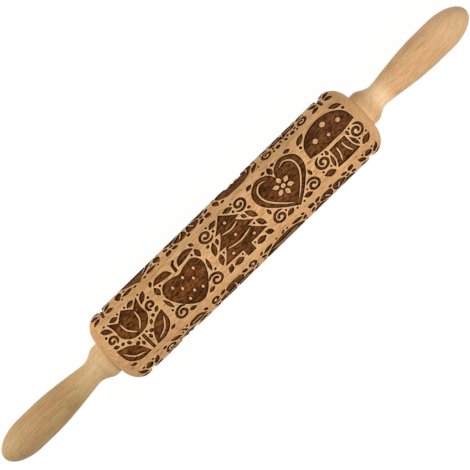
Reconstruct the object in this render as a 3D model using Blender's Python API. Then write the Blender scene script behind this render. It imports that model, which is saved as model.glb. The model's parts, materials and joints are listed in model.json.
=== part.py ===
"""Embossed rolling pin: an engraved beech barrel that turns on two ball bearings between two turned handles.

The pin lies along X and rests on the table at Z = 0, under the middle of its barrel. Left is -X.
"""

import math

import bmesh
import bpy
from mathutils import Matrix, Vector
from mathutils.geometry import delaunay_2d_cdt

MM = 0.001

# Barrel
BARREL_LENGTH = 238 * MM
BARREL_RADIUS = 27 * MM
BARREL_END_RADIUS = 11.5 * MM
SHOULDER_LENGTH = 12 * MM
BARREL_BORE_RADIUS = 7 * MM
SHOULDER_STEPS = 5

# Engraving
ENGRAVING_DEPTH = 1.0 * MM
PATTERN_MARGIN = 5.5 * MM
MOTIF_GAP_ALONG = 3.8 * MM
MOTIF_GAP_ROUND = 5 * MM
MOTIFS_IN_ROW = 5
MOTIF_ROWS = 4
STRIPS_IN_ROW = 7
CURVE_STEPS = 2

# Handles
HANDLE_LENGTH = 98 * MM
HANDLE_GAP = 0.5 * MM
COLLAR_RADIUS = 12.7 * MM
COLLAR_LENGTH = 3.5 * MM
COLLAR_EDGE = 0.6 * MM
NECK_RADIUS = 8.4 * MM
NECK_PLACE = 16.5 * MM
BELLY_RADIUS = 12.6 * MM
BELLY_PLACE = 62 * MM
NOSE_LENGTH = 24 * MM
COVE_POWER = 1.3
SWELL_POWER = 1.15
HANDLE_SIDES = 28
COVE_STEPS = 5
SWELL_STEPS = 5
NOSE_STEPS = 5

# Axle and what the handles screw onto
ROD_RADIUS = 4 * MM
ROD_CHAMFER = 0.8 * MM
ROD_GRIP = 11 * MM
GROOVE_RADIUS = 3.4 * MM
INSERT_RADIUS = 5.2 * MM
INSERT_LENGTH = 12 * MM
INSERT_FLANGE_RADIUS = 8 * MM
INSERT_FLANGE_THICKNESS = 1.2 * MM
INSERT_HOLE_SPARE = 2 * MM
CLIP_THICKNESS = 0.9 * MM
CLIP_RADIUS = 6.2 * MM
CLIP_INNER_RADIUS = 3.7 * MM
CLIP_MOUTH = math.radians(80)
CLIP_STEPS = 9
AXLE_SIDES = 20

# Ball bearings
BEARING_RADIUS = 9.5 * MM
BEARING_WIDTH = 6 * MM
BEARING_RECESS = 1.5 * MM
BALL_RADIUS = 1.5875 * MM
PITCH_RADIUS = 6.75 * MM
RACE_SHOULDER = 1.4 * MM
RACE_ARC_STEPS = 4
BALLS = 7
SHIELD_THICKNESS = 0.3 * MM
SHIELD_RECESS = 0.2 * MM
SHIELD_LIP = 0.5 * MM
CAGE_BACK = 2.3 * MM
CAGE_FRONT = 1.2 * MM
CAGE_POCKET_SIDES = 10
CAGE_SIDES = 4 * BALLS

# Clearances
FIT_GAP = 0.3 * MM
BALL_GAP = 0.2 * MM
SHIELD_GAP = 0.15 * MM
WELD = 0.001 * MM
OUTLINE_MERGE = 0.02 * MM

# Where the pieces meet, worked out from the sizes above
AXIS_HEIGHT = BARREL_RADIUS
HANDLE_PLACE = BARREL_LENGTH / 2 + HANDLE_GAP
BEARING_OUTER_FACE = BARREL_LENGTH / 2 - BEARING_RECESS
BEARING_PLACE = BEARING_OUTER_FACE - BEARING_WIDTH / 2
COUNTERBORE_RADIUS = BEARING_RADIUS + FIT_GAP
COUNTERBORE_DEPTH = BEARING_RECESS + BEARING_WIDTH + FIT_GAP
GROOVE_WIDTH = CLIP_THICKNESS + 2 * FIT_GAP
CLIP_PLACE = BEARING_OUTER_FACE - BEARING_WIDTH - FIT_GAP - CLIP_THICKNESS / 2
RACE_GROOVE_RADIUS = BALL_RADIUS + BALL_GAP
INNER_SHOULDER_RADIUS = PITCH_RADIUS - RACE_SHOULDER
OUTER_SHOULDER_RADIUS = PITCH_RADIUS + RACE_SHOULDER

BARREL_SIDES = MOTIF_ROWS * STRIPS_IN_ROW
MOTIF_PITCH = (BARREL_LENGTH - 2 * PATTERN_MARGIN) / MOTIFS_IN_ROW
MOTIF_LENGTH = MOTIF_PITCH - MOTIF_GAP_ALONG
MOTIF_HEIGHT = 2 * math.pi * BARREL_RADIUS / MOTIF_ROWS - MOTIF_GAP_ROUND
SPRIG_LENGTH = MOTIF_PITCH / 2 - MOTIF_GAP_ALONG
SPRIG_PLACE = (MOTIFS_IN_ROW / 2 - 0.25) * MOTIF_PITCH

# Motif outlines, as shares of a motif's half length and half height. A point listed twice is a corner.
TULIP_CUP_SHARES = (
    (0, -0.2), (0.34, -0.12), (0.58, 0.16), (0.58, 0.52), (0.66, 0.95), (0.66, 0.95),
    (0.33, 0.64), (0.33, 0.64), (0, 0.98), (0, 0.98),
)
TULIP_LEAF_SHARES = (
    (0.13, -0.96), (0.13, -0.96), (0.56, -0.94), (0.93, -0.62), (1.0, -0.06), (1.0, -0.06),
    (0.6, -0.2), (0.3, -0.5),
)
TULIP_STEM_SHARES = ((-0.06, -0.97), (0.06, -0.97), (0.06, -0.26), (-0.06, -0.26))
MUSHROOM_CAP_SHARES = ((0, -0.06), (0.5, -0.05), (0.97, 0.04), (0.97, 0.04), (0.88, 0.5), (0.5, 0.86), (0, 0.98))
MUSHROOM_STEM_SHARES = (
    (0, -0.97), (0.5, -0.94), (0.5, -0.94), (0.36, -0.62), (0.34, -0.19), (0.34, -0.19), (0, -0.18),
)
OAK_LEAF_SHARES = (
    (0, -0.76), (0, -0.76), (0.22, -0.64), (0.48, -0.66), (0.58, -0.48), (0.38, -0.31), (0.34, -0.22),
    (0.66, -0.21), (0.84, -0.03), (0.70, 0.13), (0.42, 0.18), (0.40, 0.26), (0.66, 0.31), (0.76, 0.48),
    (0.58, 0.63), (0.35, 0.6), (0.40, 0.79), (0.24, 0.95), (0, 0.98),
)
OAK_STALK_SHARES = ((-0.05, -0.82), (0.0, -0.99), (0.11, -0.99), (0.06, -0.82))
BERRY_SHARES = ((0, -0.97), (0.34, -0.78), (0.70, -0.3), (0.84, 0.14), (0.66, 0.48), (0.28, 0.47), (0, 0.38))
BERRY_LEAF_SHARES = (
    (0.13, 0.58), (0.13, 0.58), (0.44, 0.60), (0.90, 0.72), (0.90, 0.72), (0.66, 0.92), (0.28, 0.86),
)
BERRY_STALK_SHARES = ((-0.06, 0.5), (0.06, 0.5), (0.08, 0.78), (0.2, 0.93), (0.12, 0.99), (-0.03, 0.84))
FIR_TREE_SHARES = (
    (0, -0.97), (0.18, -0.97), (0.18, -0.97), (0.18, -0.64), (0.18, -0.64), (0.95, -0.62), (0.95, -0.62),
    (0.70, -0.36), (0.50, -0.1), (0.50, -0.1), (0.78, -0.08), (0.78, -0.08), (0.50, 0.18), (0.33, 0.4),
    (0.33, 0.4), (0.54, 0.42), (0.54, 0.42), (0.24, 0.7), (0, 0.99), (0, 0.99),
)
PETAL_SHARES = ((0.27, 0), (0.27, 0), (0.55, -0.2), (0.82, -0.28), (0.97, 0), (0.82, 0.28), (0.55, 0.2))
ROSETTE_EYE_SHARE = 0.2
ROSETTE_PETALS = 8
HEART_SHARES = (
    (0, -0.96), (0, -0.96), (0.54, -0.48), (0.97, 0.04), (0.98, 0.57), (0.56, 0.9), (0.15, 0.74),
    (0, 0.44), (0, 0.44),
)
ACORN_CAP_SHARES = ((0, 0.16), (0.46, 0.13), (0.84, 0.22), (0.84, 0.22), (0.78, 0.52), (0.44, 0.79), (0, 0.87))
ACORN_NUT_SHARES = (
    (0, -0.97), (0, -0.97), (0.16, -0.82), (0.52, -0.56), (0.70, -0.2), (0.68, 0.05), (0.68, 0.05), (0, 0.04),
)
PEAR_SHARES = (
    (0, -0.97), (0.48, -0.9), (0.80, -0.52), (0.68, -0.1), (0.41, 0.2), (0.31, 0.5), (0.02, 0.65),
    (-0.26, 0.48), (-0.38, 0.18), (-0.68, -0.12), (-0.80, -0.52), (-0.48, -0.9),
)
PEAR_LEAF_SHARES = (
    (0.13, 0.77), (0.13, 0.77), (0.44, 0.60), (0.92, 0.66), (0.92, 0.66), (0.66, 0.97), (0.30, 0.97),
)
PEAR_STALK_SHARES = ((-0.04, 0.72), (0.08, 0.72), (0.03, 0.86), (-0.06, 0.99), (-0.16, 0.96), (-0.06, 0.86))
SPRIG_STEM_SHARES = ((-0.12, -0.97), (0.12, -0.97), (0.12, 0.52), (-0.12, 0.52))
SPRIG_LEAF_SHARES = ((0.22, 0), (0.22, 0), (0.64, 0.01), (0.98, 0.28), (0.56, 0.29))
SPRIG_TIP_SHARES = ((0, 0.6), (0.36, 0.78), (0, 0.99), (-0.36, 0.78))
SPRIG_LEAF_PLACE_SHARES = (-0.72, -0.3, 0.12)


def smooth_closed(points, steps):
    """A smooth closed curve through the points, with a corner at each one that is listed twice."""
    count = len(points)
    loop = []
    for i, start in enumerate(points):
        before, end, after = points[i - 1], points[(i + 1) % count], points[(i + 2) % count]
        if start == end:
            continue
        for step in range(steps):
            t = step / steps
            loop.append(tuple(
                0.5 * (2 * b + (c - a) * t + (2 * a - 5 * b + 4 * c - d) * t**2 + (3 * b - a - 3 * c + d) * t**3)
                for a, b, c, d in zip(before, start, end, after)
            ))
    return loop


def flipped(points):
    """The same outline on the other side of the motif's middle line."""
    return [(-u, v) for u, v in reversed(points)]


def both_sides(half):
    """A closed outline from its right half, which runs bottom to top and ends on the middle line."""
    return list(half) + [(u, v) for u, v in flipped(half) if u]


def turned_about_middle(points, angle):
    cosine, sine = math.cos(angle), math.sin(angle)
    return [(u * cosine - v * sine, u * sine + v * cosine) for u, v in points]


def disc(radius_share, sides):
    angles = [2 * math.pi * i / sides for i in range(sides)]
    return [(radius_share * math.cos(angle), radius_share * math.sin(angle)) for angle in angles]


def tulip():
    leaf = smooth_closed(TULIP_LEAF_SHARES, CURVE_STEPS)
    cup = smooth_closed(both_sides(TULIP_CUP_SHARES), CURVE_STEPS)
    return [cup, leaf, flipped(leaf), TULIP_STEM_SHARES]


def mushroom():
    halves = (MUSHROOM_CAP_SHARES, MUSHROOM_STEM_SHARES)
    return [smooth_closed(both_sides(half), CURVE_STEPS) for half in halves]


def oak_leaf():
    return [smooth_closed(both_sides(OAK_LEAF_SHARES), 1), OAK_STALK_SHARES]


def strawberry():
    leaf = smooth_closed(BERRY_LEAF_SHARES, CURVE_STEPS)
    return [smooth_closed(both_sides(BERRY_SHARES), CURVE_STEPS), leaf, flipped(leaf), BERRY_STALK_SHARES]


def fir_tree():
    return [smooth_closed(both_sides(FIR_TREE_SHARES), 1)]


def rosette():
    petal = smooth_closed(PETAL_SHARES, 1)
    angles = [2 * math.pi * (i + 0.5) / ROSETTE_PETALS for i in range(ROSETTE_PETALS)]
    return [disc(ROSETTE_EYE_SHARE, ROSETTE_PETALS)] + [turned_about_middle(petal, angle) for angle in angles]


def heart():
    return [smooth_closed(both_sides(HEART_SHARES), CURVE_STEPS)]


def acorn():
    return [smooth_closed(both_sides(half), CURVE_STEPS) for half in (ACORN_CAP_SHARES, ACORN_NUT_SHARES)]


def pear():
    body = smooth_closed(PEAR_SHARES, CURVE_STEPS)
    return [body, smooth_closed(PEAR_LEAF_SHARES, CURVE_STEPS), PEAR_STALK_SHARES]


def sprig():
    outlines = [SPRIG_STEM_SHARES, SPRIG_TIP_SHARES]
    for place in SPRIG_LEAF_PLACE_SHARES:
        leaf = smooth_closed([(u, v + place) for u, v in SPRIG_LEAF_SHARES], 1)
        outlines += [leaf, flipped(leaf)]
    return outlines


# Every other row is set half a motif along, with a sprig in the half place left at each of its ends.
PATTERN = (
    (tulip, strawberry, fir_tree, heart, mushroom),
    (acorn, rosette, pear, oak_leaf),
    (heart, mushroom, tulip, strawberry, fir_tree),
    (pear, oak_leaf, acorn, rosette),
)


def pockets(seam):
    """Every pocket's outline on the unrolled barrel: place along X and angle from the top, past the seam's."""
    found = []
    for row, motifs in enumerate(PATTERN):
        middle = 2 * math.pi * row / MOTIF_ROWS
        if middle < seam:
            middle += 2 * math.pi
        for i, motif in enumerate(motifs):
            place = (i - (len(motifs) - 1) / 2) * MOTIF_PITCH
            found += [placed(outline, place, MOTIF_LENGTH, middle) for outline in motif()]
        if row % 2:
            for place in (-SPRIG_PLACE, SPRIG_PLACE):
                found += [placed(outline, place, SPRIG_LENGTH, middle) for outline in sprig()]
    return found


def placed(outline, place, length, middle):
    half_angle = MOTIF_HEIGHT / 2 / BARREL_RADIUS
    return [(place + u * length / 2, middle + v * half_angle) for u, v in outline]


def material(name, colour, roughness, metallic=0.0):
    made = bpy.data.materials.new(name)
    made.use_nodes = True
    shader = made.node_tree.nodes["Principled BSDF"]
    shader.inputs["Base Color"].default_value = (*colour, 1.0)
    shader.inputs["Roughness"].default_value = roughness
    shader.inputs["Metallic"].default_value = metallic
    return made


def frame_empty(name, place=0.0):
    """An empty on the pin's axis, which carries the pieces that turn together."""
    empty = bpy.data.objects.new(name, None)
    empty.location = (place, 0, AXIS_HEIGHT)
    bpy.context.scene.collection.objects.link(empty)
    return empty


def piece(name, mesh, finish, carrier, place=0.0):
    """An object on the pin's axis at the given place along X, parented to its carrier."""
    mesh.materials.append(finish)
    obj = bpy.data.objects.new(name, mesh)
    bpy.context.scene.collection.objects.link(obj)
    obj.parent = carrier
    obj.location = (place - carrier.location.x, 0, 0)
    return obj


def cutter(name, mesh, carrier, place=0.0):
    obj = bpy.data.objects.new(name, mesh)
    bpy.context.scene.collection.objects.link(obj)
    obj.parent = carrier
    obj.location = (place - carrier.location.x, 0, 0)
    obj.hide_render = True
    obj.display_type = "WIRE"
    return obj


def finished(shape, name, smooth_angle=35):
    """A mesh from the shape, facing out and shaded smooth but for its sharp edges."""
    bmesh.ops.remove_doubles(shape, verts=shape.verts, dist=WELD)
    bmesh.ops.recalc_face_normals(shape, faces=shape.faces)
    mesh = bpy.data.meshes.new(name)
    shape.to_mesh(mesh)
    shape.free()
    mesh.shade_smooth()
    mesh.set_sharp_from_angle(angle=math.radians(smooth_angle))
    return mesh


def spin_profile(shape, profile, sides, closed):
    """A profile of (place along X, radius) points spun about X. A facet, not an edge, faces straight down."""
    start = Vector((0, math.sin(math.pi / sides), -math.cos(math.pi / sides)))
    verts = [shape.verts.new(Vector((place, 0, 0)) + radius * start) for place, radius in profile]
    ends = zip(verts, verts[1:] + verts[:1]) if closed else zip(verts, verts[1:])
    edges = [shape.edges.new(pair) for pair in ends]
    bmesh.ops.spin(
        shape, geom=verts + edges, cent=(0, 0, 0), axis=(1, 0, 0), angle=2 * math.pi, steps=sides, use_merge=True
    )


def turned(name, profile, sides, closed=True):
    shape = bmesh.new()
    spin_profile(shape, profile, sides, closed)
    return finished(shape, name)


def arc(centre, radii, start, end, steps):
    """Points of an ellipse's arc about a centre, with its radii along X and outwards. Both ends are kept."""
    angles = [start + (end - start) * i / steps for i in range(steps + 1)]
    return [(centre[0] + radii[0] * math.cos(angle), centre[1] + radii[1] * math.sin(angle)) for angle in angles]


def mirrored_profile(right_half):
    return [(-place, radius) for place, radius in reversed(right_half)] + right_half


def barrel_skin_profile():
    """The barrel's outer outline along X: a domed shoulder, the straight middle and the other shoulder."""
    radii = (SHOULDER_LENGTH, BARREL_RADIUS - BARREL_END_RADIUS)
    centre = (BARREL_LENGTH / 2 - SHOULDER_LENGTH, BARREL_END_RADIUS)
    return mirrored_profile(arc(centre, radii, math.pi / 2, 0, SHOULDER_STEPS))


def barrel_inside_profile():
    """From the skin's left end through the bearing seats and the bore to its right end."""
    face = BARREL_LENGTH / 2
    seat = face - COUNTERBORE_DEPTH
    return mirrored_profile([
        (seat, BARREL_BORE_RADIUS), (seat, COUNTERBORE_RADIUS), (face, COUNTERBORE_RADIUS), (face, BARREL_END_RADIUS)
    ])


def radius_at(place, profile):
    for (low, low_radius), (high, high_radius) in zip(profile, profile[1:]):
        if place <= high:
            break
    share = min(max((place - low) / (high - low), 0), 1)
    return low_radius + (high_radius - low_radius) * share


def imprinted_sheet(outlines, places, angles):
    """A flat sheet of the unrolled skin, split along the rings, the strips' edges and the pockets' outlines.

    It returns the points, as place along X and arc, and each triangle with whether it lies in a pocket.
    """
    points, edges, faces = [], [], []
    low, high = places[0], places[-1]
    lines = [((low, angle), (high, angle)) for angle in angles]
    lines += [((place, angles[0]), (place, angles[-1])) for place in places]
    for line in lines:
        edges.append((len(points), len(points) + 1))
        points += line
    for outline in outlines:
        faces.append(list(range(len(points), len(points) + len(outline))))
        points += outline
    flat = [Vector((place, angle * BARREL_RADIUS)) for place, angle in points]
    verts, _, triangles, _, _, sources = delaunay_2d_cdt(flat, edges, faces, 0, OUTLINE_MERGE)
    return verts, [(triangle, bool(source)) for triangle, source in zip(triangles, sources)]


def round_the_axis(place, angle, radius):
    """A point on flat strips round the axis, whose middles lie at the radius. The angle runs from the top to +Y."""
    step = 2 * math.pi / BARREL_SIDES
    strip = math.floor(angle / step + 0.5) - 0.5
    corner = radius / math.cos(step / 2)
    edges = [Vector((0, math.sin(i * step), math.cos(i * step))) * corner for i in (strip, strip + 1)]
    return Vector((place, 0, 0)) + edges[0].lerp(edges[1], angle / step - strip)


def barrel_mesh():
    """The barrel: its pockets are sunk into the flat sheet, which is then bent round and closed by the bore."""
    step = 2 * math.pi / BARREL_SIDES
    seam = math.pi / MOTIF_ROWS
    angles = [seam + i * step for i in range(BARREL_SIDES + 1)]
    profile = barrel_skin_profile()
    verts, triangles = imprinted_sheet(pockets(seam), [place for place, _ in profile], angles)

    shape = bmesh.new()
    flat = [shape.verts.new((place, along, 0)) for place, along in verts]
    sunk = []
    for triangle, in_pocket in triangles:
        face = shape.faces.new([flat[i] for i in triangle])
        if in_pocket:
            sunk.append(face)
    sunk_edges = list(dict.fromkeys(edge for face in sunk for edge in face.edges))
    floor = bmesh.ops.extrude_face_region(shape, geom=sunk + sunk_edges)["geom"]
    floor_verts = [v for v in floor if isinstance(v, bmesh.types.BMVert)]
    bmesh.ops.translate(shape, vec=(0, 0, -ENGRAVING_DEPTH), verts=floor_verts)
    for vert in shape.verts:
        place, along, rise = vert.co
        vert.co = round_the_axis(place, along / BARREL_RADIUS, radius_at(place, profile) + rise)

    corner = 1 / math.cos(step / 2)
    spin_profile(shape, [(place, radius * corner) for place, radius in barrel_inside_profile()], BARREL_SIDES, False)
    return finished(shape, "barrel")


def handle_profile():
    """A handle from its collar's face, at place 0, to its nose: collar, cove to the neck, swell and round end."""
    points = [(0, COLLAR_RADIUS - COLLAR_EDGE), (COLLAR_EDGE, COLLAR_RADIUS)]
    for i in range(COVE_STEPS):
        t = i / COVE_STEPS
        height = (0.5 + 0.5 * math.cos(math.pi * t)) ** COVE_POWER
        place = COLLAR_LENGTH + (NECK_PLACE - COLLAR_LENGTH) * t
        points.append((place, NECK_RADIUS + (COLLAR_RADIUS - NECK_RADIUS) * height))
    for i in range(SWELL_STEPS + 1):
        t = i / SWELL_STEPS
        height = math.sin(math.pi / 2 * t) ** SWELL_POWER
        points.append((NECK_PLACE + (BELLY_PLACE - NECK_PLACE) * t, NECK_RADIUS + (BELLY_RADIUS - NECK_RADIUS) * height))
    nose = arc((HANDLE_LENGTH - NOSE_LENGTH, 0), (NOSE_LENGTH, BELLY_RADIUS), math.pi / 2, 0, NOSE_STEPS)
    return points + nose[:-1] + [(HANDLE_LENGTH, 0)]


def handle_mesh(side):
    """The handle with the stepped blind hole that its threaded insert sits in."""
    hole = INSERT_RADIUS + FIT_GAP
    seat = INSERT_FLANGE_RADIUS + FIT_GAP
    depth = INSERT_LENGTH + INSERT_HOLE_SPARE
    flange_floor = INSERT_FLANGE_THICKNESS + FIT_GAP
    inside = [(depth, 0), (depth, hole), (flange_floor, hole), (flange_floor, seat), (0, seat)]
    return turned("handle", [(side * place, radius) for place, radius in inside + handle_profile()], HANDLE_SIDES, False)


def rod_mesh():
    """The axle rod, chamfered at both ends, with a groove for each retaining clip."""
    end = HANDLE_PLACE + ROD_GRIP
    groove = [CLIP_PLACE - GROOVE_WIDTH / 2, CLIP_PLACE + GROOVE_WIDTH / 2]
    right_half = [
        (groove[0], ROD_RADIUS),
        (groove[0], GROOVE_RADIUS),
        (groove[1], GROOVE_RADIUS),
        (groove[1], ROD_RADIUS),
        (end - ROD_CHAMFER, ROD_RADIUS),
        (end, ROD_RADIUS - ROD_CHAMFER),
        (end, 0),
    ]
    return turned("axle_rod", mirrored_profile(right_half), AXLE_SIDES, False)


def insert_mesh(side):
    """A threaded insert, its flange flush with the collar's face at place 0."""
    bore = ROD_RADIUS + FIT_GAP
    profile = [
        (0, bore),
        (0, INSERT_FLANGE_RADIUS),
        (INSERT_FLANGE_THICKNESS, INSERT_FLANGE_RADIUS),
        (INSERT_FLANGE_THICKNESS, INSERT_RADIUS),
        (INSERT_LENGTH, INSERT_RADIUS),
        (INSERT_LENGTH, bore),
    ]
    return turned("threaded_insert", [(side * place, radius) for place, radius in profile], AXLE_SIDES)


def ring_mesh(name, low, high, inner, outer):
    return turned(name, [(low, inner), (low, outer), (high, outer), (high, inner)], AXLE_SIDES)


def clip_mesh():
    """An open clip, sprung into its groove through its mouth."""
    start, sweep = CLIP_MOUTH / 2, 2 * math.pi - CLIP_MOUTH
    angles = [start + sweep * i / CLIP_STEPS for i in range(CLIP_STEPS + 1)]
    outline = [(CLIP_RADIUS, angle) for angle in angles] + [(CLIP_INNER_RADIUS, angle) for angle in reversed(angles)]
    shape = bmesh.new()
    low = -CLIP_THICKNESS / 2
    face = shape.faces.new([shape.verts.new((low, r * math.sin(a), -r * math.cos(a))) for r, a in outline])
    far = bmesh.ops.extrude_face_region(shape, geom=[face])["geom"]
    bmesh.ops.translate(
        shape, vec=(CLIP_THICKNESS, 0, 0), verts=[v for v in far if isinstance(v, bmesh.types.BMVert)]
    )
    return finished(shape, "retaining_clip")


def race_groove(outwards):
    """The arc that the balls run in, from the race's left shoulder to its right one."""
    reach = math.acos(RACE_SHOULDER / RACE_GROOVE_RADIUS)
    middle = outwards * math.pi / 2
    radii = (RACE_GROOVE_RADIUS, RACE_GROOVE_RADIUS)
    return arc((0, PITCH_RADIUS), radii, middle + outwards * reach, middle - outwards * reach, RACE_ARC_STEPS)


def outer_race_mesh():
    """The outer race, stepped back at each face for a shield."""
    face = BEARING_WIDTH / 2
    seat = SHIELD_RECESS + SHIELD_THICKNESS + SHIELD_GAP
    lip = OUTER_SHOULDER_RADIUS + SHIELD_LIP
    left = [(-face, BEARING_RADIUS), (-face, lip), (seat - face, lip), (seat - face, OUTER_SHOULDER_RADIUS)]
    right = [(-place, radius) for place, radius in reversed(left)]
    return turned("bearing_outer_race", left + race_groove(1) + right, AXLE_SIDES)


def inner_race_mesh():
    face, bore = BEARING_WIDTH / 2, ROD_RADIUS + FIT_GAP
    left = [(-face, bore), (-face, INNER_SHOULDER_RADIUS)]
    right = [(face, INNER_SHOULDER_RADIUS), (face, bore)]
    return turned("bearing_inner_race", left + race_groove(-1) + right, AXLE_SIDES)


def shield_mesh(side):
    outer_face = side * (BEARING_WIDTH / 2 - SHIELD_RECESS)
    inner = INNER_SHOULDER_RADIUS + FIT_GAP
    outer = OUTER_SHOULDER_RADIUS + SHIELD_LIP - SHIELD_GAP
    return ring_mesh("shield", outer_face - side * SHIELD_THICKNESS, outer_face, inner, outer)


def ball_mesh():
    shape = bmesh.new()
    bmesh.ops.create_icosphere(shape, subdivisions=2, radius=BALL_RADIUS)
    return finished(shape, "ball", smooth_angle=60)


def pocket_cutter_mesh():
    """Seven round pins that point outwards, one for each ball's pocket in the cage."""
    shape = bmesh.new()
    length = OUTER_SHOULDER_RADIUS - INNER_SHOULDER_RADIUS
    radius = BALL_RADIUS + BALL_GAP
    for i in range(BALLS):
        outwards = Matrix.Rotation(2 * math.pi * i / BALLS, 4, "X") @ Matrix.Translation((0, 0, PITCH_RADIUS))
        bmesh.ops.create_cone(
            shape, cap_ends=True, segments=CAGE_POCKET_SIDES, radius1=radius, radius2=radius, depth=length,
            matrix=outwards,
        )
    return finished(shape, "ball_pocket_cutter")


def build_cage(name, side, carrier, place, finish):
    """A crown cage: a solid back ring towards the handle, with pockets that open towards the barrel's middle."""
    inner, outer = INNER_SHOULDER_RADIUS + FIT_GAP, OUTER_SHOULDER_RADIUS - FIT_GAP
    back, front = side * CAGE_BACK, -side * CAGE_FRONT
    profile = [(back, inner), (back, outer), (front, outer), (front, inner)]
    cage = piece(name, turned("ball_cage", profile, CAGE_SIDES), finish, carrier, place)
    pockets_cut = cage.modifiers.new("ball_pockets", "BOOLEAN")
    pockets_cut.operation = "DIFFERENCE"
    pockets_cut.solver = "EXACT"
    pockets_cut.object = cutter(f"{name}_pocket_cutter", pocket_cutter_mesh(), carrier, place)


def build_balls(prefix, carrier, place, finish):
    mesh = ball_mesh()
    mesh.materials.append(finish)
    for i in range(BALLS):
        angle = 2 * math.pi * i / BALLS
        ball = bpy.data.objects.new(f"{prefix}_ball_{i + 1}", mesh)
        bpy.context.scene.collection.objects.link(ball)
        ball.parent = carrier
        across = Vector((0, -math.sin(angle), math.cos(angle))) * PITCH_RADIUS
        ball.location = across + Vector((place - carrier.location.x, 0, 0))


def build_end(prefix, side, grip, roller, finishes):
    """One end of the pin: its handle with insert and spacer, its bearing and its clip."""
    handle_place, bearing_place = side * HANDLE_PLACE, side * BEARING_PLACE
    steel = finishes["bearing_steel"]
    piece(f"{prefix}_handle", handle_mesh(side), finishes["beech_handle"], grip, handle_place)
    piece(f"{prefix}_threaded_insert", insert_mesh(side), finishes["brass"], grip, handle_place)

    spacer_length = HANDLE_GAP + BEARING_RECESS - 2 * FIT_GAP
    spacer = ring_mesh(
        "spacer_ring", -spacer_length / 2, spacer_length / 2, ROD_RADIUS + FIT_GAP, INNER_SHOULDER_RADIUS
    )
    spacer_place = side * (HANDLE_PLACE - FIT_GAP - spacer_length / 2)
    piece(f"{prefix}_spacer_ring", spacer, finishes["axle_steel"], grip, spacer_place)
    piece(f"{prefix}_retaining_clip", clip_mesh(), finishes["spring_steel"], grip, side * CLIP_PLACE)

    piece(f"{prefix}_bearing_inner_race", inner_race_mesh(), steel, grip, bearing_place)
    piece(f"{prefix}_bearing_outer_race", outer_race_mesh(), steel, roller, bearing_place)
    piece(f"{prefix}_outboard_shield", shield_mesh(side), finishes["shield_steel"], roller, bearing_place)
    piece(f"{prefix}_inboard_shield", shield_mesh(-side), finishes["shield_steel"], roller, bearing_place)

    cage_frame = frame_empty(f"{prefix}_cage_frame", bearing_place)
    build_cage(f"{prefix}_ball_cage", side, cage_frame, bearing_place, finishes["cage_nylon"])
    build_balls(prefix, cage_frame, bearing_place, steel)


def make_finishes():
    return {
        "beech_barrel": material("beech_barrel", (0.70, 0.43, 0.21), 0.55),
        "beech_handle": material("beech_handle", (0.62, 0.40, 0.20), 0.5),
        "axle_steel": material("axle_steel", (0.55, 0.55, 0.56), 0.3, 1.0),
        "bearing_steel": material("bearing_steel", (0.65, 0.65, 0.66), 0.15, 1.0),
        "shield_steel": material("shield_steel", (0.6, 0.6, 0.6), 0.35, 1.0),
        "spring_steel": material("spring_steel", (0.25, 0.25, 0.26), 0.4, 1.0),
        "brass": material("brass", (0.75, 0.55, 0.25), 0.3, 1.0),
        "cage_nylon": material("cage_nylon", (0.85, 0.82, 0.72), 0.5),
    }


def main():
    for obj in list(bpy.data.objects):
        bpy.data.objects.remove(obj, do_unlink=True)
    finishes = make_finishes()
    grip = frame_empty("handle_frame")
    roller = frame_empty("barrel_frame")
    piece("axle_rod", rod_mesh(), finishes["axle_steel"], grip)
    piece("barrel", barrel_mesh(), finishes["beech_barrel"], roller)
    build_end("left", -1, grip, roller, finishes)
    build_end("right", 1, grip, roller, finishes)


main()
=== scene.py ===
"""Dresses the embossed rolling pin: its engraved beech barrel, its two turned handles and what lies inside.

The pin lies along X on the floor at Z = 0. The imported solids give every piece's place.
"""

import json
import math
from functools import cache

import bmesh
import bpy
import numpy as np
from mathutils import Matrix, Vector
from mathutils.geometry import delaunay_2d_cdt


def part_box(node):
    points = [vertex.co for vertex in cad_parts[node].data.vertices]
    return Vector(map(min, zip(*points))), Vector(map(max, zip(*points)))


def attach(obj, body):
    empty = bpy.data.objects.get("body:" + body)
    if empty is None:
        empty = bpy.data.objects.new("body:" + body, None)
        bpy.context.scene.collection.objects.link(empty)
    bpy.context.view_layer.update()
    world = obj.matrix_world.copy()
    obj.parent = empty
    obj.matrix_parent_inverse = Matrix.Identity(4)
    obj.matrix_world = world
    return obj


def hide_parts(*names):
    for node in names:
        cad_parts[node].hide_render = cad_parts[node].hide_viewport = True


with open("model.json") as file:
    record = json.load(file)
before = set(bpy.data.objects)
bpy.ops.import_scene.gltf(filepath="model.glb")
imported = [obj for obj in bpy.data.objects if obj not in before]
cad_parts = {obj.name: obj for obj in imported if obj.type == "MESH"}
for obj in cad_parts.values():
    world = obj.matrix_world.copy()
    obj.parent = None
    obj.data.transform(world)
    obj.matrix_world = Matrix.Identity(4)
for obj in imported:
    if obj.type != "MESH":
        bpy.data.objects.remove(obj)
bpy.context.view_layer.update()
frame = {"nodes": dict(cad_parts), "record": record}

MM = 0.001
QUARTER_TURN = math.pi / 2


def srgb(red, green, blue):
    """A colour as Blender's sockets take it, from its 0 to 255 values on a screen."""
    linear = [v / 255 / 12.92 if v <= 10 else ((v / 255 + 0.055) / 1.055) ** 2.4 for v in (red, green, blue)]
    return (*linear, 1.0)


def grey(value):
    return (value, value, value, 1)


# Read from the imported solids
barrel_low, barrel_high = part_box("barrel")
handle_low, handle_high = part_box("right_handle")
BARREL_LENGTH = barrel_high.x - barrel_low.x
BARREL_RADIUS = (barrel_high.z - barrel_low.z) / 2
AXIS_HEIGHT = (barrel_high.z + barrel_low.z) / 2
HANDLE_END = handle_high.x

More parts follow.
